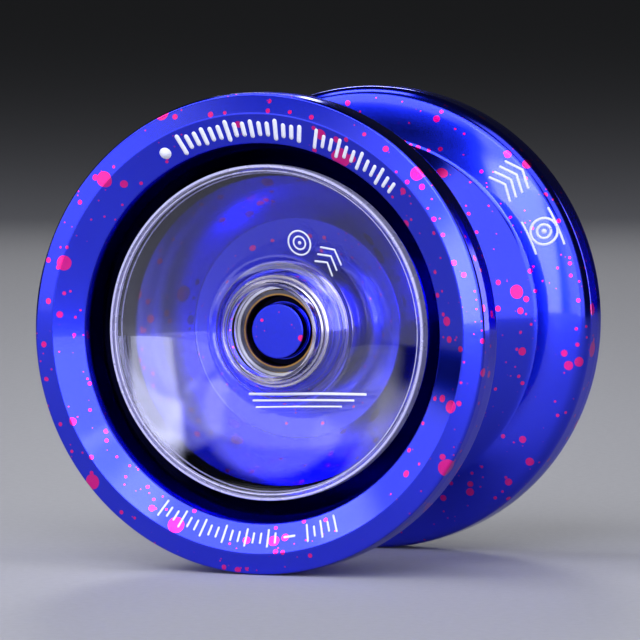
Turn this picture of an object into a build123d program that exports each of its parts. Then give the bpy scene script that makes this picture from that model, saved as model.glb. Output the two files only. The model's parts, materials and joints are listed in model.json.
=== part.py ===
"""Wide metal yo-yo with clear free-spinning side caps, lying ready to roll on its two rims.

The spin axis is Y, the front half is on the -Y side and Z is up. The origin is the middle of the yo-yo.
Profiles are half sections drawn as (radius, height), where height is the distance from the middle
plane between the two halves. The same profile serves both halves: each half has its own sketch plane.
"""
from build123d import *
import os

# The two halves, as the planes in which a profile's second coordinate points away from the middle
HALF_PLANES = {
    "front": Plane(origin=(0, 0, 0), x_dir=(1, 0, 0), z_dir=(0, 0, -1)),
    "rear": Plane(origin=(0, 0, 0), x_dir=(1, 0, 0), z_dir=(0, 0, 1)),
}
OUTWARD = {"front": 1, "rear": -1}  # sign of a height along the normal of Plane.XZ

# Whole yo-yo
RIM_R = 27.5
WIDTH = 42.2
STRING_GAP = 4.5

# Side face of a half: an outer bevel, a narrow flat land and an inner bevel down to the cup
FACE_H = WIDTH / 2
LAND_INNER_R = 25.0
LAND_OUTER_R = 25.2
BEVEL_DROP = 0.4
CUP_EDGE_R = 21.7
CUP_EDGE_H = 19.5
CUP_EDGE_ROUNDING = 0.3

# Outside of a half: catch cone from the string gap, blended crease, curved flare and rim band. The band
# is a cylinder up to its own edge and then leans in a little towards the side face.
CATCH_START_R = 10.2
CREASE_R = 21.45
CREASE_H = 13.9
CREASE_BLEND = 1.2
FLARE_END_H = 15.6
FLARE_BULGE = 0.12
FLARE_ROUNDING = 1.8
RIM_EDGE_H = 19.05
RIM_LEAN = 0.08
SIDE_EDGE_ROUNDING = 0.4

# Cup behind the clear cap
CUP_WALL_R = 21.1
CUP_WALL_H = 16.2
CUP_FLOOR_R = 12.2
CUP_FLOOR_H = 6.4

# Cup post, which carries the side bearing and then narrows to a stub in the middle of its bore
POST_BASE_R = 4.65
POST_SEAT_R = 3.99
POST_SEAT_END_H = 12.3
POST_STUB_R = 3.17
POST_STUB_EDGE = 0.15
POST_TOP_H = 14.2

# Axle, a plain stand-in for an M4 set screw, and its blind hole in each half
AXLE_R = 2.0
AXLE_LENGTH = 20.0
AXLE_CHAMFER = 0.4
AXLE_HOLE_R = 2.01
AXLE_HOLE_H = 10.4
SOCKET_FLATS = 2.0
SOCKET_DEPTH = 2.5

# Main bearing, size C, in the middle of the string gap
BEARING_BORE_R = 3.175
BEARING_R = 6.35
BEARING_WIDTH = 4.76
BEARING_PITCH_R = 4.7625
BEARING_INNER_LAND_R = 4.1
BEARING_OUTER_LAND_R = 5.45
BEARING_BALL_R = 1.0
BEARING_BALL_COUNT = 10
BEARING_EDGE = 0.2
STRING_TRACK_DEPTH = 0.22
STRING_TRACK_WIDTH = 3.4
SHIELD_RECESS_R = 5.75
SHIELD_RECESS_DEPTH = 0.55
SHIELD_HOLE_R = 4.3
SHIELD_THICKNESS = 0.2
SNAP_RING_INNER_R = 5.3
SNAP_RING_THICKNESS = 0.25
SNAP_RING_OPENING = 1.4
CAGE_INNER_R = 4.35
CAGE_OUTER_R = 5.2
CAGE_LIP_H = 0.55
CAGE_BACK_H = 1.45

# Seat of the main bearing in a half
STUB_R = 3.165
STUB_END_H = 0.2
SHOULDER_R = 4.0
RECESS_R = 6.6
RECESS_H = 2.9

# Response pad and its groove in the response face
PAD_INNER_R = 7.4
PAD_OUTER_R = 9.5
PAD_THICKNESS = 1.0
PAD_EDGE = 0.15
GROOVE_CLEARANCE = 0.05
GROOVE_DEPTH = 1.1

# Side bearing, 8 x 12 x 3.5, between the cup post and the clear cap
SIDE_BORE_R = 4.0
SIDE_R = 6.0
SIDE_WIDTH = 3.5
SIDE_CENTRE_H = 11.95
SIDE_PITCH_R = 5.0
SIDE_INNER_LAND_R = 4.72
SIDE_OUTER_LAND_R = 5.28
SIDE_BALL_R = 0.6
SIDE_BALL_COUNT = 11
SIDE_EDGE = 0.12
SIDE_RECESS_R = 5.45
SIDE_RECESS_DEPTH = 0.3
SIDE_SHIELD_HOLE_R = 4.85
SIDE_SHIELD_THICKNESS = 0.15
SIDE_CAGE_INNER_R = 4.8
SIDE_CAGE_OUTER_R = 5.2
SIDE_CAGE_LIP_H = 0.3
SIDE_CAGE_BACK_H = 0.95

BALL_CLEARANCE = 0.05  # between a ball and its race, and between a ball and its cage pocket

# Clear side cap: boss with the side bearing's housing, dished web and rim ring
CAP_RING_R = 19.2
CAP_RING_WIDTH = 0.8
CAP_RING_H = 18.1
CAP_RING_BACK_H = 16.4
CAP_WEB_INNER_R = 8.8
CAP_WEB_H = 14.0
CAP_WEB_RISE = 3.75
CAP_THICKNESS = 1.3
CAP_BOSS_R = 7.3
CAP_BOSS_BACK_H = 10.0
CAP_LIP_R = 5.2
CAP_LIP_WIDTH = 0.4
CAP_LIP_H = 16.5
CAP_BOSS_FLARE = 0.55
CAP_HOUSING_R = 6.01

PARTS_FOLDER = "parts"


def write(builder, name):
    """Label a finished piece and write it under the same name."""
    builder.part.label = name
    export_step(builder.part, f"{PARTS_FOLDER}/{name}.step")


def bulged(start, end, bulge):
    """An arc from start to end that stands out by bulge, to the right of the way from start to end."""
    chord = Vector(*end) - Vector(*start)
    middle = (Vector(*start) + Vector(*end)) / 2
    right = Vector(chord.Y, -chord.X).normalized()
    return ThreePointArc(start, middle + right * bulge, end)


def washer(plane, inner_r, outer_r, low_h, high_h):
    """A flat ring between two heights."""
    with BuildPart() as ring:
        with BuildSketch(plane):
            with Locations(((inner_r + outer_r) / 2, (low_h + high_h) / 2)):
                Rectangle(outer_r - inner_r, high_h - low_h)
        revolve(axis=Axis.Y)
    return ring


# The two metal halves


def half_profile():
    """Half section of one half, from the axle hole round the outside and back through the cup."""
    response_h = STRING_GAP / 2
    shoulder_h = BEARING_WIDTH / 2
    groove_inner_r = PAD_INNER_R - GROOVE_CLEARANCE
    groove_outer_r = PAD_OUTER_R + GROOVE_CLEARANCE
    groove_h = response_h + GROOVE_DEPTH
    Polyline(
        (0, AXLE_HOLE_H),
        (AXLE_HOLE_R, AXLE_HOLE_H),
        (AXLE_HOLE_R, STUB_END_H),
        (STUB_R, STUB_END_H),
        (STUB_R, shoulder_h),
        (SHOULDER_R, shoulder_h),
        (SHOULDER_R, RECESS_H),
        (RECESS_R, RECESS_H),
        (RECESS_R, response_h),
        (groove_inner_r, response_h),
        (groove_inner_r, groove_h),
        (groove_outer_r, groove_h),
        (groove_outer_r, response_h),
        (CATCH_START_R, response_h),
        (CREASE_R, CREASE_H),
    )
    bulged((CREASE_R, CREASE_H), (RIM_R, FLARE_END_H), FLARE_BULGE)
    Polyline(
        (RIM_R, FLARE_END_H),
        (RIM_R, RIM_EDGE_H),
        (RIM_R - RIM_LEAN, FACE_H - BEVEL_DROP),
        (LAND_OUTER_R, FACE_H),
        (LAND_INNER_R, FACE_H),
        (CUP_EDGE_R, CUP_EDGE_H),
        (CUP_WALL_R, CUP_WALL_H),
        (CUP_FLOOR_R, CUP_FLOOR_H),
        (POST_BASE_R, CUP_FLOOR_H),
        (POST_BASE_R, SIDE_CENTRE_H - SIDE_WIDTH / 2),
        (POST_SEAT_R, SIDE_CENTRE_H - SIDE_WIDTH / 2),
        (POST_SEAT_R, POST_SEAT_END_H),
        (POST_STUB_R, POST_SEAT_END_H),
        (POST_STUB_R, POST_TOP_H),
        (0, POST_TOP_H),
        (0, AXLE_HOLE_H),
    )


# Rounded corners of the half section: (radius from the axis, height, rounding)
HALF_ROUNDINGS = (
    (CREASE_R, CREASE_H, CREASE_BLEND),
    (RIM_R, FLARE_END_H, FLARE_ROUNDING),
    (RIM_R - RIM_LEAN, FACE_H - BEVEL_DROP, SIDE_EDGE_ROUNDING),
    (CUP_EDGE_R, CUP_EDGE_H, CUP_EDGE_ROUNDING),
    (POST_STUB_R, POST_TOP_H, POST_STUB_EDGE),
)


def make_half(side, plane):
    """One turned metal half."""
    with BuildPart() as half:
        with BuildSketch(plane) as section:
            with BuildLine():
                half_profile()
            make_face()
            for r, h, rounding in HALF_ROUNDINGS:
                fillet(section.vertices().sort_by_distance((r, h))[0], rounding)
        revolve(axis=Axis.Y)
    write(half, f"{side}_half")


def make_axle():
    """The set screw that joins the halves, with a hex socket in its rear end."""
    with BuildPart(Plane.XZ) as axle:
        Cylinder(AXLE_R, AXLE_LENGTH)
        chamfer(axle.edges().filter_by(GeomType.CIRCLE), AXLE_CHAMFER)
        with BuildSketch(Plane.XZ.offset(-AXLE_LENGTH / 2)):
            RegularPolygon(SOCKET_FLATS / 2, side_count=6, major_radius=False)
        extrude(amount=SOCKET_DEPTH, mode=Mode.SUBTRACT)
    write(axle, "axle")


def make_response_pad(side, plane):
    """Silicone ring glued to the floor of its groove, a little below the response face."""
    floor_h = STRING_GAP / 2 + GROOVE_DEPTH
    pad = washer(plane, PAD_INNER_R, PAD_OUTER_R, floor_h - PAD_THICKNESS, floor_h)
    with BuildPart() as rounded:
        add(pad.part)
        fillet(rounded.edges().group_by(lambda edge: abs(edge.center().Y))[0], PAD_EDGE)
    write(rounded, f"{side}_response_pad")


# Ball bearings. Their rings are drawn about a centre height, so that one function serves all three.


def race_ring(plane, centre_h, wall_r, land_r, width, edge, pitch_r, ball_r, recess=None):
    """A bearing ring between its wall and its land, with a ball race, and shield recesses if given."""
    half_width = width / 2
    outward = 1 if wall_r > land_r else -1
    with BuildPart() as ring:
        with BuildSketch(plane):
            with Locations(((wall_r + land_r) / 2, centre_h)):
                Rectangle(abs(wall_r - land_r), width)
            with BuildLine(mode=Mode.PRIVATE) as corners:
                for end in (-1, 1):
                    Polyline(
                        (wall_r, centre_h + end * half_width),
                        (wall_r - outward * edge, centre_h + end * half_width),
                        (wall_r, centre_h + end * (half_width - edge)),
                        close=True,
                    )
            for wire in corners.wires():
                make_face(wire.edges(), mode=Mode.SUBTRACT)
            with Locations((pitch_r, centre_h)):
                Circle(ball_r + BALL_CLEARANCE, mode=Mode.SUBTRACT)
            if recess:
                recess_r, recess_depth = recess
                for end in (-1, 1):
                    with Locations(((land_r + recess_r) / 2, centre_h + end * (half_width - recess_depth / 2))):
                        Rectangle(recess_r - land_r, recess_depth, mode=Mode.SUBTRACT)
        revolve(axis=Axis.Y)
    return ring


def ball_set(offset, pitch_r, ball_r, count):
    """The balls of a bearing, as one node of separate solids."""
    with BuildPart(Plane.XZ.offset(offset)) as balls:
        with PolarLocations(pitch_r, count):
            Sphere(ball_r)
    return balls


def crown_cage(plane, centre_h, offset, radii, heights, pitch_r, ball_r, count):
    """A ring with a pocket round each ball, open towards the middle plane."""
    inner_r, outer_r = radii
    lip_h, back_h = heights
    ring = washer(plane, inner_r, outer_r, centre_h - lip_h, centre_h + back_h)
    pockets = ball_set(offset, pitch_r, ball_r + BALL_CLEARANCE, count)
    with BuildPart() as cage:
        add(ring.part)
        add(pockets.part, mode=Mode.SUBTRACT)
    return cage


def make_main_bearing():
    """The size C bearing that the string loops round."""
    plane = HALF_PLANES["rear"]
    half_width = BEARING_WIDTH / 2
    inner_ring = race_ring(plane, 0, BEARING_BORE_R, BEARING_INNER_LAND_R, BEARING_WIDTH, BEARING_EDGE,
                           BEARING_PITCH_R, BEARING_BALL_R)
    write(inner_ring, "bearing_inner_ring")

    plain_outer = race_ring(plane, 0, BEARING_R, BEARING_OUTER_LAND_R, BEARING_WIDTH, BEARING_EDGE,
                            BEARING_PITCH_R, BEARING_BALL_R, (SHIELD_RECESS_R, SHIELD_RECESS_DEPTH))
    with BuildPart() as outer_ring:
        add(plain_outer.part)
        with BuildSketch(plane):
            with BuildLine():
                track_start = (BEARING_R, -STRING_TRACK_WIDTH / 2)
                track_end = (BEARING_R, STRING_TRACK_WIDTH / 2)
                bulged(track_start, track_end, -STRING_TRACK_DEPTH)
                Line(track_end, track_start)
            make_face()
        revolve(axis=Axis.Y, mode=Mode.SUBTRACT)
    write(outer_ring, "bearing_outer_ring")

    write(ball_set(0, BEARING_PITCH_R, BEARING_BALL_R, BEARING_BALL_COUNT), "bearing_balls")
    cage = crown_cage(plane, 0, 0, (CAGE_INNER_R, CAGE_OUTER_R), (CAGE_LIP_H, CAGE_BACK_H),
                      BEARING_PITCH_R, BEARING_BALL_R, BEARING_BALL_COUNT)
    write(cage, "bearing_cage")

    shield_h = half_width - SHIELD_RECESS_DEPTH
    snap_h = shield_h + SHIELD_THICKNESS
    for side, side_plane in HALF_PLANES.items():
        shield = washer(side_plane, SHIELD_HOLE_R, SHIELD_RECESS_R, shield_h, snap_h)
        write(shield, f"bearing_{side}_shield")
        snap = washer(side_plane, SNAP_RING_INNER_R, SHIELD_RECESS_R, snap_h, snap_h + SNAP_RING_THICKNESS)
        with BuildPart() as snap_ring:
            add(snap.part)
            with Locations((0, 0, SHIELD_RECESS_R)):
                Box(SNAP_RING_OPENING, BEARING_WIDTH, 2 * (SHIELD_RECESS_R - CAGE_INNER_R), mode=Mode.SUBTRACT)
        write(snap_ring, f"bearing_{side}_snap_ring")


def make_side_bearing(side, plane):
    """The thin bearing that lets a clear cap turn on its half's cup post."""
    name = f"{side}_cap_bearing"
    offset = OUTWARD[side] * SIDE_CENTRE_H
    inner_ring = race_ring(plane, SIDE_CENTRE_H, SIDE_BORE_R, SIDE_INNER_LAND_R, SIDE_WIDTH, SIDE_EDGE,
                           SIDE_PITCH_R, SIDE_BALL_R)
    write(inner_ring, f"{name}_inner_ring")
    outer_ring = race_ring(plane, SIDE_CENTRE_H, SIDE_R, SIDE_OUTER_LAND_R, SIDE_WIDTH, SIDE_EDGE,
                           SIDE_PITCH_R, SIDE_BALL_R, (SIDE_RECESS_R, SIDE_RECESS_DEPTH))
    write(outer_ring, f"{name}_outer_ring")
    write(ball_set(offset, SIDE_PITCH_R, SIDE_BALL_R, SIDE_BALL_COUNT), f"{name}_balls")
    cage = crown_cage(plane, SIDE_CENTRE_H, offset, (SIDE_CAGE_INNER_R, SIDE_CAGE_OUTER_R),
                      (SIDE_CAGE_LIP_H, SIDE_CAGE_BACK_H), SIDE_PITCH_R, SIDE_BALL_R, SIDE_BALL_COUNT)
    write(cage, f"{name}_cage")
    shield_inner_h = SIDE_WIDTH / 2 - SIDE_RECESS_DEPTH
    for place, end in (("inboard", -1), ("outboard", 1)):
        heights = sorted(SIDE_CENTRE_H + end * (shield_inner_h + thickness)
                         for thickness in (0, SIDE_SHIELD_THICKNESS))
        shield = washer(plane, SIDE_SHIELD_HOLE_R, SIDE_RECESS_R, *heights)
        write(shield, f"{name}_{place}_shield")


# The clear caps


def cap_profile():
    """Half section of a clear cap, from the boss's lip over the dished web to the ring and back."""
    lip_edge = (CAP_LIP_R + CAP_LIP_WIDTH, CAP_LIP_H)
    web_start = (CAP_WEB_INNER_R, CAP_WEB_H)
    ring_inner_r = CAP_RING_R - CAP_RING_WIDTH
    housing_end_h = SIDE_CENTRE_H + SIDE_WIDTH / 2
    Line((CAP_LIP_R, CAP_LIP_H), lip_edge)
    bulged(lip_edge, web_start, CAP_BOSS_FLARE)
    Polyline(
        web_start,
        (ring_inner_r, CAP_WEB_H + CAP_WEB_RISE),
        (ring_inner_r, CAP_RING_H),
        (CAP_RING_R, CAP_RING_H),
        (CAP_RING_R, CAP_RING_BACK_H),
        (CAP_WEB_INNER_R, CAP_WEB_H - CAP_THICKNESS),
        (CAP_BOSS_R, CAP_WEB_H - CAP_THICKNESS),
        (CAP_BOSS_R, CAP_BOSS_BACK_H),
        (CAP_HOUSING_R, CAP_BOSS_BACK_H),
        (CAP_HOUSING_R, housing_end_h),
        (CAP_LIP_R, housing_end_h),
        (CAP_LIP_R, CAP_LIP_H),
    )


def make_cap(side, plane):
    """One moulded clear cap."""
    with BuildPart() as cap:
        with BuildSketch(plane):
            with BuildLine():
                cap_profile()
            make_face()
        revolve(axis=Axis.Y)
    write(cap, f"{side}_cap")


os.makedirs(PARTS_FOLDER, exist_ok=True)
make_axle()
make_main_bearing()
for half_side, half_plane in HALF_PLANES.items():
    make_half(half_side, half_plane)
    make_response_pad(half_side, half_plane)
    make_side_bearing(half_side, half_plane)
    make_cap(half_side, half_plane)
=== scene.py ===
"""Looks of the wide metal yo-yo: splash-anodised halves, clear side caps, bearings, marks, floor, light."""
import bpy
import json
import math
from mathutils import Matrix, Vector

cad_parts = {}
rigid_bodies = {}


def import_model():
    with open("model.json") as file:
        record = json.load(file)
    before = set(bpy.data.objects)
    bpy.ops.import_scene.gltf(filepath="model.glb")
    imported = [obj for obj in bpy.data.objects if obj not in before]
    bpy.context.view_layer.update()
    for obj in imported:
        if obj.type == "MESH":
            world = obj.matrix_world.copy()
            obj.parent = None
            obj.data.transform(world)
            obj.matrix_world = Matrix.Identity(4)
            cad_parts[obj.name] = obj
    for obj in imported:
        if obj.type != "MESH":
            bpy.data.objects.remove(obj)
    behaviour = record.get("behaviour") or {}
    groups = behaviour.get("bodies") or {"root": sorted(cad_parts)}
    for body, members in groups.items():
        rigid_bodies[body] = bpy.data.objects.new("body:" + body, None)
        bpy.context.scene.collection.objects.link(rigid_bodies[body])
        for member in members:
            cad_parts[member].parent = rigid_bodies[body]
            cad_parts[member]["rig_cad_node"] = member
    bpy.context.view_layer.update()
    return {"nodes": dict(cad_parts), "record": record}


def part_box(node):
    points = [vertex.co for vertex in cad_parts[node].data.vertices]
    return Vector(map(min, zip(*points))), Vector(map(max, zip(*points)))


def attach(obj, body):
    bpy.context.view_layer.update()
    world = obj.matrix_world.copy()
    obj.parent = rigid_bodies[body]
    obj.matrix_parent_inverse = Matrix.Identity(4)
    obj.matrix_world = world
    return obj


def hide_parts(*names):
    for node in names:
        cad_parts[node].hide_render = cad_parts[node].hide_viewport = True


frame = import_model()
nodes = frame["nodes"]

MM = 0.001
SIDES = {"front": -1, "rear": 1}  # the halves and their sign along the spin axis Y
RIM_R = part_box("front_half")[1].x / MM
FACE_H = -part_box("front_half")[0].y / MM
FLOOR_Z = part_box("front_half")[0].z
TURNED_SEGMENTS = 288  # faces round one turned piece
ON_AXIS = 1e-6  # in mm, the radius below which a profile point is a pole


# ---------------------------------------------------------------- turned shapes

def rounded(corners, guard=0.02):
    """Profile points in mm from (radius, height, rounding) corners. Each rounding is an arc between two
    guard points, which keep the flat stretches beside it flat in smooth shading."""
    points = []
    count = len(corners)
    for index, (r, h, size) in enumerate(corners):
        here = Vector((r, h))
        before = Vector(corners[index - 1][:2])
        after = Vector(corners[(index + 1) % count][:2])
        if size == 0:
            points.append(here)
            continue
        back = (before - here).normalized()
        on = (after - here).normalized()
        half_angle = back.angle(on) / 2
        reach = size / math.tan(half_angle)
        start = here + back * reach
        end = here + on * reach
        centre = here + (back + on).normalized() * size / math.sin(half_angle)
        points.append(start + back * guard)
        sweep = math.pi - 2 * half_angle
        steps = max(3, round(math.degrees(sweep) / 11), round(sweep * size / 0.12))
        turn = 1 if (start - centre).cross(end - centre) > 0 else -1
        for step in range(steps + 1):
            angle = turn * sweep * step / steps
            arm = start - centre
            points.append(centre + Vector((arm.x * math.cos(angle) - arm.y * math.sin(angle),
                                           arm.x * math.sin(angle) + arm.y * math.cos(angle))))
        points.append(end + on * guard)
    return points


def bulge_points(start, end, bulge, steps):
    """Points strictly between start and end on an arc that stands out by bulge to the right of the way."""
    start = Vector(start)
    end = Vector(end)
    chord = end - start
    right = Vector((chord.y, -chord.x)).normalized()
    points = []
    for step in range(1, steps):
        share = step / steps
        points.append(start + chord * share + right * bulge * 4 * share * (1 - share))
    return points


def lathe(name, profile, side, body):
    """A closed turned mesh about Y. profile is in mm; points with radius 0 become poles."""
    sign = SIDES[side]
    vertices = []
    rings = []
    for point in profile:
        if point.x < ON_AXIS:
            rings.append([len(vertices)])
            vertices.append((0, sign * point.y * MM, 0))
            continue
        rings.append(list(range(len(vertices), len(vertices) + TURNED_SEGMENTS)))
        for step in range(TURNED_SEGMENTS):
            angle = 2 * math.pi * step / TURNED_SEGMENTS
            across = point.x * MM * math.cos(angle)
            up = point.x * MM * math.sin(angle)
            vertices.append((across, sign * point.y * MM, up))
    faces = []
    for index, ring in enumerate(rings):
        following = rings[(index + 1) % len(rings)]
        if len(ring) == 1 and len(following) == 1:
            continue
        for step in range(TURNED_SEGMENTS):
            ahead = (step + 1) % TURNED_SEGMENTS
            if len(ring) == 1:
                face = (ring[0], following[step], following[ahead])
            elif len(following) == 1:
                face = (ring[step], following[0], ring[ahead])
            else:
                face = (ring[step], following[step], following[ahead], ring[ahead])
            faces.append(face)
    return finished_mesh(name, vertices, faces, body)


def finished_mesh(name, vertices, faces, body):
    """A smooth-shaded object from vertices and faces, with its faces turned outwards, on its body."""
    mesh = bpy.data.meshes.new(name)
    mesh.from_pydata(vertices, [], faces)
    mesh.validate()
    piece = bpy.data.objects.new(name, mesh)
    bpy.context.scene.collection.objects.link(piece)
    bpy.context.view_layer.objects.active = piece
    piece.select_set(True)
    bpy.ops.object.mode_set(mode="EDIT")
    bpy.ops.mesh.select_all(action="SELECT")
    bpy.ops.mesh.normals_make_consistent(inside=False)
    bpy.ops.object.mode_set(mode="OBJECT")
    piece.select_set(False)
    mesh.shade_smooth()
    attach(piece, body)
    return piece


# ---------------------------------------------------------------- material helpers

class Nodes:
    """Short calls for building one material's node tree."""

    def __init__(self, name):
        self.material = bpy.data.materials.new(name)
        self.material.use_nodes = True
        self.tree = self.material.node_tree
        self.shader = self.tree.nodes["Principled BSDF"]
        self.place = self.add("ShaderNodeTexCoord").outputs["Object"]

    def add(self, kind, **settings):
        node = self.tree.nodes.new(kind)
        for key, value in settings.items():
            setattr(node, key, value)
        return node

    def feed(self, socket, value):
        if isinstance(value, bpy.types.NodeSocket):
            self.tree.links.new(value, socket)
        else:
            socket.default_value = value

    def math(self, operation, *values, clamp=False):
        node = self.add("ShaderNodeMath", operation=operation, use_clamp=clamp)
        for socket, value in zip(node.inputs, values):
            self.feed(socket, value)
        return node.outputs[0]

    def mix(self, share, first, second):
        node = self.add("ShaderNodeMix", data_type="RGBA")
        self.feed(node.inputs["Factor"], share)
        self.feed(node.inputs[6], first)
        self.feed(node.inputs[7], second)
        return node.outputs[2]

    def noise(self, scale, detail=2.0, roughness=0.5):
        node = self.add("ShaderNodeTexNoise")
        self.feed(node.inputs["Vector"], self.place)
        node.inputs["Scale"].default_value = scale
        node.inputs["Detail"].default_value = detail
        node.inputs["Roughness"].default_value = roughness
        return node

    def spread(self, value, low, high):
        """value from 0 to 1, spread over low to high."""
        node = self.add("ShaderNodeMapRange")
        self.feed(node.inputs["Value"], value)
        node.inputs["To Min"].default_value = low
        node.inputs["To Max"].default_value = high
        return node.outputs["Result"]

    def radius(self):
        """Distance from the spin axis, in metres."""
        axes = self.add("ShaderNodeSeparateXYZ")
        self.feed(axes.inputs[0], self.place)
        x_part = self.math("MULTIPLY", axes.outputs["X"], axes.outputs["X"])
        z_part = self.math("MULTIPLY", axes.outputs["Z"], axes.outputs["Z"])
        return self.math("SQRT", self.math("ADD", x_part, z_part)), axes.outputs["Y"]

    def turning_lines(self, pitch_mm):
        """0 to 1 and back along the section: the fine ridges that a lathe tool leaves."""
        radius, height = self.radius()
        along = self.math("ADD", radius, self.math("MULTIPLY", height, 0.7))
        return self.math("SINE", self.math("MULTIPLY", along, 2 * math.pi / (pitch_mm * MM)))

    def bump(self, height, strength, distance_mm):
        node = self.add("ShaderNodeBump")
        node.inputs["Strength"].default_value = strength
        node.inputs["Distance"].default_value = distance_mm * MM
        self.feed(node.inputs["Height"], height)
        self.feed(self.shader.inputs["Normal"], node.outputs["Normal"])

    def set(self, **values):
        """Shader sockets by name, with underscores for spaces."""
        for key, value in values.items():
            self.feed(self.shader.inputs[key.replace("_", " ")], value)


# ---------------------------------------------------------------- materials

BLUE = (0.014, 0.034, 0.88, 1)
DEEP_BLUE = (0.008, 0.020, 0.74, 1)
BLUE_EDGE = (0.25, 0.28, 0.9, 1)  # tint of the metal at grazing angles
PINK = (1.0, 0.002, 0.34, 1)
# Painted shade: near-black blue for the zones of the halves that lie in deep shade
PAINTED_SHADE_BLUE = (0.002, 0.002, 0.010, 1)

# Satin lines of the clear cap's edge ring, from one radius to another, in mm
CAP_EDGE_LINES = ((18.36, 18.58), (18.86, 19.3))
CAP_LINE_BLUR = 0.06
BRONZE_END_R = 4.25  # in mm, on the inner ring of a cap bearing

# Splashes of the second dye: cell size, share of cells with a drop, smallest and largest drop radius, in mm
SPLASHES = (
    (4.2, 0.72, 0.45, 1.25),
    (2.2, 0.62, 0.24, 0.58),
    (1.3, 0.55, 0.13, 0.32),
    (0.85, 0.35, 0.06, 0.17),
)

# Painted shade: zones of the section painted near black for the deep shade on the cup's wall beyond the cap's
# edge and on the post's seat round its stub:
# (smallest radius, largest radius, lowest height at the smallest radius, rise of that height per mm of
# radius, largest height), in mm
PAINTED_SHADE_ZONES = ((18.0, 21.62, 12.2, 0.8, 19.25), (3.24, 4.2, 9.0, 0.0, 13.9))
PAINTED_SHADE_EDGE = 0.12


def splash_mask(n, cell_mm, share, low_mm, high_mm, seed):
    """1 inside round drops of random size, one in some of the cells of a 3D Voronoi texture."""
    wobble = n.noise(1 / (1.2 * MM), 1.0)
    shift = n.add("ShaderNodeVectorMath", operation="MULTIPLY_ADD")
    n.feed(shift.inputs[0], wobble.outputs["Color"])
    shift.inputs[1].default_value = (0.16 * low_mm * MM * 2,) * 3
    n.feed(shift.inputs[2], n.place)
    offset = n.add("ShaderNodeVectorMath", operation="ADD")
    n.feed(offset.inputs[0], shift.outputs[0])
    offset.inputs[1].default_value = (seed * 0.137, seed * 0.071, seed * 0.193)
    cells = n.add("ShaderNodeTexVoronoi")
    n.feed(cells.inputs["Vector"], offset.outputs[0])
    cells.inputs["Scale"].default_value = 1 / (cell_mm * MM)
    dice = n.add("ShaderNodeSeparateColor")
    n.feed(dice.inputs[0], cells.outputs["Color"])
    skewed = n.math("POWER", dice.outputs["Green"], 1.8)
    size = n.spread(skewed, low_mm / cell_mm, high_mm / cell_mm)
    kept = n.math("LESS_THAN", dice.outputs["Red"], share)
    inside = n.math("SUBTRACT", size, cells.outputs["Distance"])
    soft_edge = 0.05 / cell_mm
    return n.math("MULTIPLY", n.math("DIVIDE", inside, soft_edge, clamp=True), kept)


def painted_shade_mask(n, low_r, high_r, low_h, rise, high_h):
    """1 inside a ring-shaped zone of the section that is painted as shade, 0 outside it."""
    radius, along = n.radius()
    r = n.math("MULTIPLY", radius, 1 / MM)
    h = n.math("MULTIPLY", n.math("ABSOLUTE", along), 1 / MM)
    floor_h = n.math("ADD", n.math("MULTIPLY", n.math("SUBTRACT", r, low_r), rise), low_h)
    inside = 1.0
    for depth in (n.math("SUBTRACT", r, low_r), n.math("SUBTRACT", high_r, r),
                  n.math("SUBTRACT", h, floor_h), n.math("SUBTRACT", high_h, h)):
        inside = n.math("MULTIPLY", inside, n.math("DIVIDE", depth, PAINTED_SHADE_EDGE, clamp=True))
    return inside


def anodised_metal():
    n = Nodes("anodised_metal")
    mask = 0.0
    for seed, (cell, share, low, high) in enumerate(SPLASHES, start=3):
        mask = n.math("MAXIMUM", mask, splash_mask(n, cell, share, low, high, seed))
    depth = n.noise(90, 3.0).outputs["Fac"]
    dyed = n.mix(depth, DEEP_BLUE, BLUE)
    splashed = n.mix(mask, dyed, PINK)
    # Painted shade: the shade zones get near-black blue and lose their coat, so they stay dark whatever the
    # light
    painted_shade = 0.0
    for shade_zone in PAINTED_SHADE_ZONES:
        painted_shade = n.math("MAXIMUM", painted_shade, painted_shade_mask(n, *shade_zone))
    n.set(Base_Color=n.mix(painted_shade, splashed, PAINTED_SHADE_BLUE), Metallic=1.0, Specular_Tint=BLUE_EDGE)
    n.set(Coat_Weight=n.spread(painted_shade, 0.6, 0.0), Coat_Roughness=0.04, Coat_IOR=1.6)
    smear = n.noise(260, 4.0).outputs["Fac"]
    n.set(Roughness=n.spread(smear, 0.13, 0.21))
    n.bump(n.turning_lines(0.11), 0.12, 0.004)
    return n.material


def clear_plastic():
    """Clear plastic, polished all over but for two bright satin lines on its edge ring."""
    n = Nodes("clear_plastic")
    radius = n.radius()[0]
    edge = 0.0
    for start, end in CAP_EDGE_LINES:
        into = n.math("DIVIDE", n.math("SUBTRACT", radius, start * MM), CAP_LINE_BLUR * MM, clamp=True)
        out = n.math("DIVIDE", n.math("SUBTRACT", end * MM, radius), CAP_LINE_BLUR * MM, clamp=True)
        edge = n.math("MAXIMUM", edge, n.math("MULTIPLY", into, out))
    n.set(Base_Color=(0.76, 0.74, 1.0, 1), Transmission_Weight=n.spread(edge, 1.0, 0.45), IOR=1.58)
    haze = n.noise(300, 3.0).outputs["Fac"]
    n.set(Roughness=n.math("ADD", n.spread(haze, 0.0, 0.05), n.spread(edge, 0.0, 0.25)))
    n.bump(n.turning_lines(0.2), 0.05, 0.003)
    return n.material


def steel(name, colour, low, high, pitch_mm):
    n = Nodes(name)
    patches = n.noise(700, 4.0).outputs["Fac"]
    darker = tuple(0.82 * channel for channel in colour[:3]) + (1,)
    n.set(Base_Color=n.mix(patches, darker, colour), Metallic=1.0, Roughness=n.spread(patches, low, high))
    n.bump(n.turning_lines(pitch_mm), 0.2, 0.003)
    return n.material


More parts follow.
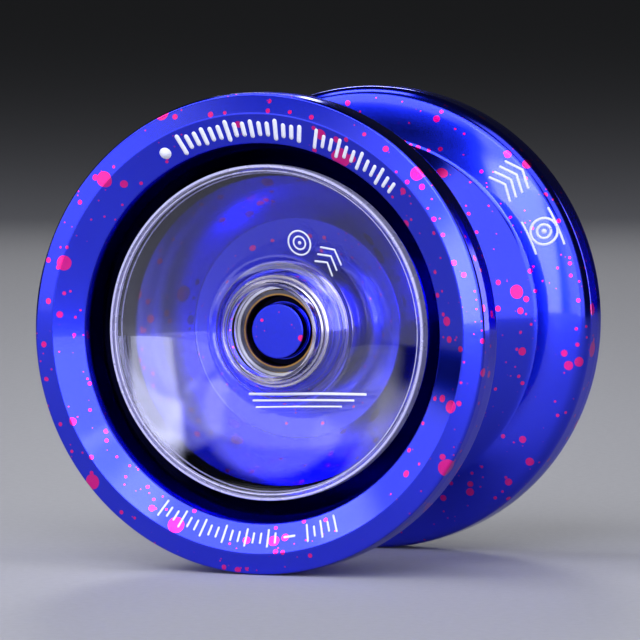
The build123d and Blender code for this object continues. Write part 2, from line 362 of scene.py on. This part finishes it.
def bronze_steel_painted_shade():
    """Steel with a bronze-coloured bevel round its bore and a face painted near black as shade, for the shade
    down the cap's lip hole.
    """
    n = Nodes("bronze_steel_painted_shade")
    radius = n.radius()[0]
    wear = n.noise(900, 3.0).outputs["Fac"]
    painted_shade_share = n.math("DIVIDE", n.math("SUBTRACT", radius, BRONZE_END_R * MM), 0.1 * MM, clamp=True)
    bronze = n.mix(wear, (0.30, 0.16, 0.05, 1), (0.42, 0.24, 0.09, 1))
    # Painted shade: beyond the bevel the ring's face is near black for the shade in the lip hole, not the
    # colour of ground steel
    n.set(Base_Color=n.mix(painted_shade_share, bronze, (0.09, 0.09, 0.12, 1)), Metallic=1.0,
          Roughness=n.spread(wear, 0.12, 0.25))
    n.bump(n.turning_lines(0.07), 0.2, 0.003)
    return n.material


def silicone():
    n = Nodes("silicone")
    dust = n.noise(2500, 5.0, 0.7).outputs["Fac"]
    n.set(Base_Color=n.mix(dust, (0.72, 0.74, 0.76, 1), (0.88, 0.89, 0.90, 1)),
          Roughness=n.spread(dust, 0.45, 0.7), Subsurface_Weight=0.2, Subsurface_Scale=0.0006)
    n.bump(dust, 0.3, 0.02)
    return n.material


def white_mark():
    n = Nodes("white_mark")
    grain = n.noise(4000, 4.0, 0.7).outputs["Fac"]
    n.set(Base_Color=n.mix(grain, (0.66, 0.68, 0.76, 1), (0.95, 0.95, 0.97, 1)),
          Roughness=n.spread(grain, 0.35, 0.6))
    n.bump(grain, 0.2, 0.01)
    return n.material


ANODISED = anodised_metal()
CLEAR = clear_plastic()
BEARING_STEEL = steel("bearing_steel", (0.74, 0.71, 0.66, 1), 0.08, 0.2, 0.07)
SHIELD_STEEL = steel("shield_steel", (0.60, 0.60, 0.61, 1), 0.25, 0.4, 0.15)
BRONZE_STEEL_PAINTED_SHADE = bronze_steel_painted_shade()
SCREW_STEEL = steel("screw_steel", (0.10, 0.10, 0.11, 1), 0.3, 0.5, 0.7)
CAGE_METAL = steel("cage_metal", (0.70, 0.48, 0.22, 1), 0.2, 0.4, 0.2)
SILICONE = silicone()
WHITE_MARK = white_mark()

SLOT_MATERIALS = {
    "anodised_metal": ANODISED,
    "clear_plastic": CLEAR,
    "silicone": SILICONE,
    "screw_steel": SCREW_STEEL,
    "bearing_steel": BEARING_STEEL,
    "shield_steel": SHIELD_STEEL,
    "cage": CAGE_METAL,
}


def dress(piece, slot_name):
    """Give a piece its slot's material."""
    piece.data.materials.clear()
    piece.data.materials.append(SLOT_MATERIALS[slot_name])


# ---------------------------------------------------------------- the metal halves

# Radii and heights from the middle plane, in mm, as the turned part has them
AXLE_HOLE_R = 2.01
AXLE_HOLE_H = 10.4
STUB_R = 3.165
STUB_END_H = 0.2
SHOULDER_R = 4.0
SHOULDER_H = 2.38
RECESS_R = 6.6
RECESS_H = 2.9
RESPONSE_H = 2.25
GROOVE_INNER_R = 7.35
GROOVE_OUTER_R = 9.55
GROOVE_H = 3.35
CATCH_START_R = 10.2
LAND_INNER_R = 25.0
LAND_OUTER_R = 25.2
CUP_EDGE = (21.7, 19.5)
CUP_WALL = (21.1, 16.2)
CUP_FLOOR = (12.2, 6.4)
CREASE = (21.45, 13.9)
FLARE_END = (RIM_R, 15.6)
FLARE_BULGE = 0.12
FLARE_STEPS = 24
RIM_EDGE_H = 19.05
RIM_LEAN = 0.08
BEVEL_DROP = 0.4
POST_BASE_R = 4.65
POST_SHOULDER_H = 10.2
POST_SEAT_R = 3.99
POST_SEAT_END_H = 12.3
POST_STUB_R = 3.17
POST_TOP_H = 14.2

# Roundings of the section's corners, in mm
FINE = 0.08  # small turned corners
SHARP = 0.1
STUB_EDGE = 0.15
CATCH_START_ROUNDING = 0.3
CREASE_BLEND = 1.2
FLARE_ROUNDING = 1.8
RIM_ROUNDING = 0.4
CUP_EDGE_ROUNDING = 0.3
CUP_WALL_ROUNDING = 0.8
CUP_FLOOR_ROUNDING = 0.35
POST_FOOT_ROUNDING = 0.4
POST_SHOULDER_ROUNDING = 0.12
POST_SEAT_CORNER = 0.05
FLARE_CORNERS = slice(3, -6)  # flare points clear of the roundings at its two ends


def half_profile():
    """Closed section of a half: axle hole, bearing seat, pad groove, outside, side face, cup and post."""
    flare = bulge_points(CREASE, FLARE_END, FLARE_BULGE, FLARE_STEPS)
    flare_corners = [tuple(point) + (0,) for point in flare[FLARE_CORNERS]]
    return rounded([
        (0, AXLE_HOLE_H, 0), (AXLE_HOLE_R, AXLE_HOLE_H, SHARP), (AXLE_HOLE_R, STUB_END_H, SHARP),
        (STUB_R, STUB_END_H, STUB_EDGE), (STUB_R, SHOULDER_H, SHARP), (SHOULDER_R, SHOULDER_H, FINE),
        (SHOULDER_R, RECESS_H, FINE), (RECESS_R, RECESS_H, FINE), (RECESS_R, RESPONSE_H, FINE),
        (GROOVE_INNER_R, RESPONSE_H, FINE), (GROOVE_INNER_R, GROOVE_H, FINE),
        (GROOVE_OUTER_R, GROOVE_H, FINE), (GROOVE_OUTER_R, RESPONSE_H, FINE),
        (CATCH_START_R, RESPONSE_H, CATCH_START_ROUNDING),
        (*CREASE, CREASE_BLEND), *flare_corners, (*FLARE_END, FLARE_ROUNDING),
        (RIM_R, RIM_EDGE_H, RIM_ROUNDING), (RIM_R - RIM_LEAN, FACE_H - BEVEL_DROP, RIM_ROUNDING),
        (LAND_OUTER_R, FACE_H, SHARP), (LAND_INNER_R, FACE_H, SHARP),
        (*CUP_EDGE, CUP_EDGE_ROUNDING), (*CUP_WALL, CUP_WALL_ROUNDING), (*CUP_FLOOR, CUP_FLOOR_ROUNDING),
        (POST_BASE_R, CUP_FLOOR[1], POST_FOOT_ROUNDING),
        (POST_BASE_R, POST_SHOULDER_H, POST_SHOULDER_ROUNDING),
        (POST_SEAT_R, POST_SHOULDER_H, POST_SEAT_CORNER), (POST_SEAT_R, POST_SEAT_END_H, FINE),
        (POST_STUB_R, POST_SEAT_END_H, FINE), (POST_STUB_R, POST_TOP_H, STUB_EDGE), (0, POST_TOP_H, 0),
    ])


for side in SIDES:
    half = lathe(f"{side}_metal_half", half_profile(), side, "halves")
    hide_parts(f"{side}_half")
    dress(half, "anodised_metal")


# ---------------------------------------------------------------- the clear caps

CAP_RING_R = 19.2
CAP_RING_INNER_R = 18.4
CAP_WEB_START = (8.8, 14.0)
CAP_WEB_END = (18.4, 17.75)
CAP_LIP = (5.6, 16.5)
CAP_LIP_INNER_R = 5.2
CAP_BOSS_BULGE = 0.55
CAP_BOSS_STEPS = 12
CAP_RING_H = 18.1
CAP_RING_BACK_H = 16.4
CAP_RING_LEAN = 0.02
CAP_WEB_BACK_H = 12.7
CAP_BOSS_R = 7.3
CAP_BOSS_BACK_H = 10.0
CAP_HOUSING_R = 6.01
CAP_HOUSING_TOP_H = 13.7

# Roundings of the cap's corners, in mm
CAP_FINE = 0.05
CAP_EDGE = 0.12
CAP_LIP_EDGE = 0.08
CAP_RING_EDGE = 0.15
CAP_RING_BACK_EDGE = 0.2
CAP_WEB_ROOT = 0.6
CAP_BOSS_ROOT = 0.4


def cap_profile():
    """Closed section of a cap: lip, flared boss, web, rim ring, and back down to the bearing's housing."""
    lip = rounded([
        (CAP_LIP_INNER_R, CAP_HOUSING_TOP_H, CAP_FINE), (CAP_LIP_INNER_R, CAP_LIP[1], CAP_LIP_EDGE),
        (*CAP_LIP, CAP_EDGE), (*CAP_WEB_START, 0), (0, CAP_BOSS_BACK_H, 0),
    ])[:-2]
    flare = bulge_points(CAP_LIP, CAP_WEB_START, CAP_BOSS_BULGE, CAP_BOSS_STEPS)
    back = rounded([
        (*CAP_WEB_START, 0), (*CAP_WEB_END, CAP_EDGE),
        (CAP_RING_INNER_R + CAP_RING_LEAN, CAP_RING_H, CAP_EDGE), (CAP_RING_R, CAP_RING_H, CAP_RING_EDGE),
        (CAP_RING_R, CAP_RING_BACK_H, CAP_RING_BACK_EDGE),
        (CAP_WEB_START[0], CAP_WEB_BACK_H, CAP_WEB_ROOT), (CAP_BOSS_R, CAP_WEB_BACK_H, CAP_BOSS_ROOT),
        (CAP_BOSS_R, CAP_BOSS_BACK_H, CAP_RING_EDGE), (CAP_HOUSING_R, CAP_BOSS_BACK_H, CAP_EDGE),
        (CAP_HOUSING_R, CAP_HOUSING_TOP_H, CAP_FINE),
    ])
    return lip + flare[1:] + back


for side in SIDES:
    cap = lathe(f"{side}_clear_cap", cap_profile(), side, f"{side}_cap")
    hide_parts(f"{side}_cap")
    dress(cap, "clear_plastic")


# ---------------------------------------------------------------- printed marks

# Section lines of the printed surfaces, from one end to the other, as (radius, height) in mm
BEVEL_LINE = [CUP_EDGE, (LAND_INNER_R, FACE_H)]
FLARE_POINTS = bulge_points(CREASE, FLARE_END, FLARE_BULGE, FLARE_STEPS)
FLARE_LINE = [CREASE] + [tuple(point) for point in FLARE_POINTS]
BOSS_POINTS = bulge_points(CAP_LIP, CAP_WEB_START, CAP_BOSS_BULGE, CAP_BOSS_STEPS)
WEB_LINE = [CAP_LIP] + [tuple(point) for point in BOSS_POINTS] + [CAP_WEB_START, CAP_WEB_END]

INK_TOP = 0.035  # height of the ink above its surface, in mm
INK_ROOT = 0.03  # depth of the ink's underside below that surface, in mm
STROKE_STEP = 0.5  # distance between a stroke's cross-sections, in mm
END_ANGLES = (25, 50, 70, 85)  # steps of a stroke's round end, in degrees


def on_section(line, r):
    """Height at radius r on a section line, and the line's unit direction there."""
    for (r1, h1), (r2, h2) in zip(line, line[1:]):
        if r <= r2:
            break
    return h1 + (h2 - h1) * (r - r1) / (r2 - r1), Vector((r2 - r1, h2 - h1)).normalized()


def stroke_sections(path, half_width):
    """(point, way, half width) cross-sections of a stroke with round ends along a path of points."""
    corners = [Vector(point) for point in path]
    points = [corners[0]]
    for start, end in zip(corners, corners[1:]):
        count = max(1, round((end - start).length / STROKE_STEP))
        points += [start.lerp(end, step / count) for step in range(1, count + 1)]
    ways = [(end - start).normalized() for start, end in zip(points, points[1:])]
    first, last = ways[0], ways[-1]
    middles = [(ahead + behind).normalized() for behind, ahead in zip(ways, ways[1:])]
    sections = []
    for angle in reversed(END_ANGLES):
        turn = math.radians(angle)
        sections.append((points[0] - first * half_width * math.sin(turn), first, half_width * math.cos(turn)))
    for point, way in zip(points, [first] + middles + [last]):
        sections.append((point, way, half_width))
    for angle in END_ANGLES:
        turn = math.radians(angle)
        sections.append((points[-1] + last * half_width * math.sin(turn), last, half_width * math.cos(turn)))
    return sections


def print_marks(name, strokes, line, side, body, outward):
    """Thin raised ink: strokes of (path, width) drawn in x and z, laid on a section line's surface. outward
    is 1 where the printed face looks away from the middle plane and -1 where it looks towards it."""
    sign = SIDES[side]
    vertices = []
    faces = []
    for path, width in strokes:
        sections = stroke_sections(path, width / 2)
        base = len(vertices)
        for point, way, half_width in sections:
            across = Vector((-way.y, way.x)) * half_width
            for edge, lift in ((point + across, INK_TOP), (point - across, INK_TOP),
                               (point - across, -INK_ROOT), (point + across, -INK_ROOT)):
                r = edge.length
                h, along = on_section(line, r)
                normal = Vector((-along.y, along.x)) * outward
                scale = (r + normal.x * lift) / r * MM
                vertices.append((edge.x * scale, sign * (h + normal.y * lift) * MM, edge.y * scale))
        for index in range(len(sections) - 1):
            here = base + 4 * index
            for corner in range(4):
                beside = (corner + 1) % 4
                faces.append((here + corner, here + beside, here + 4 + beside, here + 4 + corner))
        faces.append(tuple(base + corner for corner in range(4)))
        faces.append(tuple(len(vertices) - 4 + corner for corner in range(4)))
    piece = finished_mesh(name, vertices, faces, body)
    piece.data.materials.append(WHITE_MARK)


def polar(radius, angle):
    """A point on the face in mm. Angles in degrees run from +X towards +Z."""
    return Vector((radius * math.cos(math.radians(angle)), radius * math.sin(math.radians(angle))))


def around(radius, start, end):
    """Points on an arc about the spin axis from one angle to the other."""
    count = max(2, round(abs(end - start) * math.radians(radius) / STROKE_STEP))
    return [polar(radius, start + (end - start) * step / count) for step in range(count + 1)]


def scale_marks(radius, start, end, step, lengths, width):
    """A ruler-like scale: radial ticks centred on a radius, their lengths repeating."""
    strokes = []
    for index in range(round(abs(end - start) / step) + 1):
        angle = start + math.copysign(step, end - start) * index
        reach = lengths[index % len(lengths)] / 2
        strokes.append(([polar(radius - reach, angle), polar(radius + reach, angle)], width))
    return strokes


def chevrons(radius, angle, count, pitch, half_span, depth, width):
    """Nested chevrons that point outwards, stacked along the radius about a centre."""
    strokes = []
    side_angle = math.degrees(half_span / radius)
    for index in range(count):
        tip = radius + (index - (count - 1) / 2) * pitch + depth / 2
        strokes.append(([polar(tip - depth, angle + side_angle), polar(tip, angle),
                         polar(tip - depth, angle - side_angle)], width))
    return strokes


def rings(radius, angle, sizes, width):
    """Rings about one centre, with a dot in the middle."""
    centre = polar(radius, angle)
    strokes = [dot(centre, 2 * width)]
    for size in sizes:
        strokes.append(([centre + polar(size, angle + 15 * step) for step in range(25)], width))
    return strokes


def dot(centre, width):
    return [centre, centre + Vector((0.02, 0))], width


BEVEL_MARKS = (
    [dot(polar(23.35, 119.0), 1.3)]
    + scale_marks(23.35, 113.5, 78.0, 2.4, (2.0, 1.2, 1.2, 1.6, 1.2, 1.2), 0.52)
    + scale_marks(23.35, 72.5, 45.0, 2.4, (2.0, 1.2, 1.2), 0.42)
    + scale_marks(23.3, 240.0, 275.5, 2.2, (1.8, 1.0, 1.0), 0.24)
    + [(around(23.3, 278.0, 281.0), 0.26)]
    + scale_marks(23.3, 285.0, 294.0, 2.2, (1.8, 1.0), 0.24)
)
FLARE_MARKS = (
    chevrons(24.7, 42.5, 4, 0.85, 2.0, 0.75, 0.3)
    + rings(24.7, 25.5, (0.8, 1.55), 0.3)
    + [(around(22.9, 20.5, 30.5), 0.26), (around(26.3, 20.5, 30.5), 0.26)]
)
CAP_MARKS = (
    rings(10.6, 74.0, (0.75, 1.4), 0.2)
    + chevrons(10.7, 52.0, 3, 0.95, 1.5, 0.8, 0.22)
    + [([(-3.4 + 0.4 * row, -7.3 - 0.75 * row), (11.4 - 1.6 * row, -6.9 - 0.75 * row)], 0.3 - 0.06 * row)
       for row in range(3)]
)

for side in SIDES:
    print_marks(f"{side}_bevel_marks", BEVEL_MARKS, BEVEL_LINE, side, "halves", 1)
    print_marks(f"{side}_flare_marks", FLARE_MARKS, FLARE_LINE, side, "halves", -1)
    print_marks(f"{side}_cap_marks", CAP_MARKS, WEB_LINE, side, f"{side}_cap", 1)


# ---------------------------------------------------------------- CAD nodes that stay

slot_of = {entry["node"]: entry["material_slot"] for entry in frame["record"]["subparts"]}
for name, node in nodes.items():
    dress(node, slot_of[name])
for side in SIDES:
    # Painted shade: the caps' bearing inner rings get near-black faces beside their bronze bevels
    ring = nodes[f"{side}_cap_bearing_inner_ring"]
    ring.data.materials.clear()
    ring.data.materials.append(BRONZE_STEEL_PAINTED_SHADE)


# ---------------------------------------------------------------- floor, light, camera

def make_floor():
    bpy.ops.mesh.primitive_plane_add(size=40, location=(0, 0, FLOOR_Z))
    floor = bpy.context.object
    floor.name = "floor"
    n = Nodes("floor")
    grain = n.noise(900, 5.0, 0.7).outputs["Fac"]
    n.set(Base_Color=n.mix(grain, (0.38, 0.38, 0.39, 1), (0.52, 0.52, 0.53, 1)), Roughness=0.6)
    n.bump(grain, 0.15, 0.2)
    floor.data.materials.append(n.material)


LIGHT_DISTANCE = 0.9
SOFT_EDGE = 0.15  # share of a softbox's width over which its light fades in


def soften_edges(light):
    """Let the light of an area light fade towards its edges, as a softbox's does."""
    light.use_nodes = True
    tree = light.node_tree
    place = tree.nodes.new("ShaderNodeNewGeometry").outputs["Parametric"]
    axes = tree.nodes.new("ShaderNodeSeparateXYZ")
    tree.links.new(place, axes.inputs[0])
    strength = 1.0
    for axis in ("X", "Y"):
        from_edge = tree.nodes.new("ShaderNodeMath")
        from_edge.operation = "PINGPONG"
        from_edge.inputs[1].default_value = 0.5
        tree.links.new(axes.outputs[axis], from_edge.inputs[0])
        fade = tree.nodes.new("ShaderNodeMapRange")
        fade.interpolation_type = "SMOOTHSTEP"
        fade.inputs["From Max"].default_value = SOFT_EDGE
        tree.links.new(from_edge.outputs[0], fade.inputs["Value"])
        both = tree.nodes.new("ShaderNodeMath")
        both.operation = "MULTIPLY"
        tree.links.new(fade.outputs["Result"], both.inputs[0])
        if axis == "X":
            both.inputs[1].default_value = strength
        else:
            tree.links.new(strength, both.inputs[1])
        strength = both.outputs[0]
    tree.links.new(strength, tree.nodes["Emission"].inputs["Strength"])


def softbox(name, azimuth, elevation, width, height, radiance, colour=(1, 1, 1)):
    """An area light that faces the yo-yo from azimuth degrees round from the front towards +X. width and
    height are the angles that it fills, seen from the yo-yo."""
    light = bpy.data.lights.new(name, "AREA")
    light.shape = "RECTANGLE"
    light.size = 2 * LIGHT_DISTANCE * math.tan(math.radians(width / 2))
    light.size_y = 2 * LIGHT_DISTANCE * math.tan(math.radians(height / 2))
    light.energy = radiance * math.pi * light.size * light.size_y
    light.color = colour
    soften_edges(light)
    lamp = bpy.data.objects.new(name, light)
    lamp.location = LIGHT_DISTANCE * direction(azimuth, elevation)
    lamp.rotation_euler = (-lamp.location).to_track_quat("-Z", "Y").to_euler()
    lamp.visible_camera = False
    bpy.context.scene.collection.objects.link(lamp)


def direction(azimuth, elevation):
    """Unit vector from the yo-yo: azimuth 0 is the front, 90 is +X; elevation is above the horizon."""
    turn = math.radians(azimuth)
    rise = math.radians(elevation)
    return Vector((math.sin(turn) * math.cos(rise), -math.cos(turn) * math.cos(rise), math.sin(rise)))


def make_world():
    world = bpy.data.worlds.new("studio")
    world.use_nodes = True
    world.node_tree.nodes["Background"].inputs["Color"].default_value = (0.9, 0.93, 1.0, 1)
    world.node_tree.nodes["Background"].inputs["Strength"].default_value = 0.02
    bpy.context.scene.world = world


def make_camera(azimuth, elevation, distance, lens, shift):
    camera = bpy.data.cameras.new("camera")
    camera.lens = lens
    camera.shift_x, camera.shift_y = shift
    holder = bpy.data.objects.new("camera", camera)
    holder.location = distance * direction(azimuth, elevation)
    holder.rotation_euler = (-holder.location).to_track_quat("-Z", "Y").to_euler()
    bpy.context.scene.collection.objects.link(holder)
    bpy.context.scene.camera = holder


make_floor()
make_world()
softbox("front_left_box", -26, 8, 64, 24, 1.4)
softbox("front_box", 7, 7, 17, 38, 8.5, (0.72, 0.75, 1.0))
softbox("front_right_box", 34, 7, 39, 38, 3.8, (0.72, 0.75, 1.0))
softbox("low_fill_box", 12, 29, 24, 20, 4.2, (0.72, 0.75, 1.0))
softbox("left_box", -62, 22, 34, 36, 1.3)
softbox("high_front_box", -15, 45, 84, 28, 3.2, (0.86, 0.88, 1.0))
softbox("overhead_box", -90, 70, 22, 28, 4.5, (0.86, 0.88, 1.0))
softbox("right_box", 66, 34, 36, 84, 1.6)
softbox("back_right_box", 151, 8, 12, 36, 3.0, (0.86, 0.88, 1.0))
softbox("back_box", 202, 22, 12, 14, 6.0)
make_camera(21.01, 3.26, 0.7584, 365.9, (-0.0028, 0.0071))
bpy.context.scene.view_settings.view_transform = "Standard"
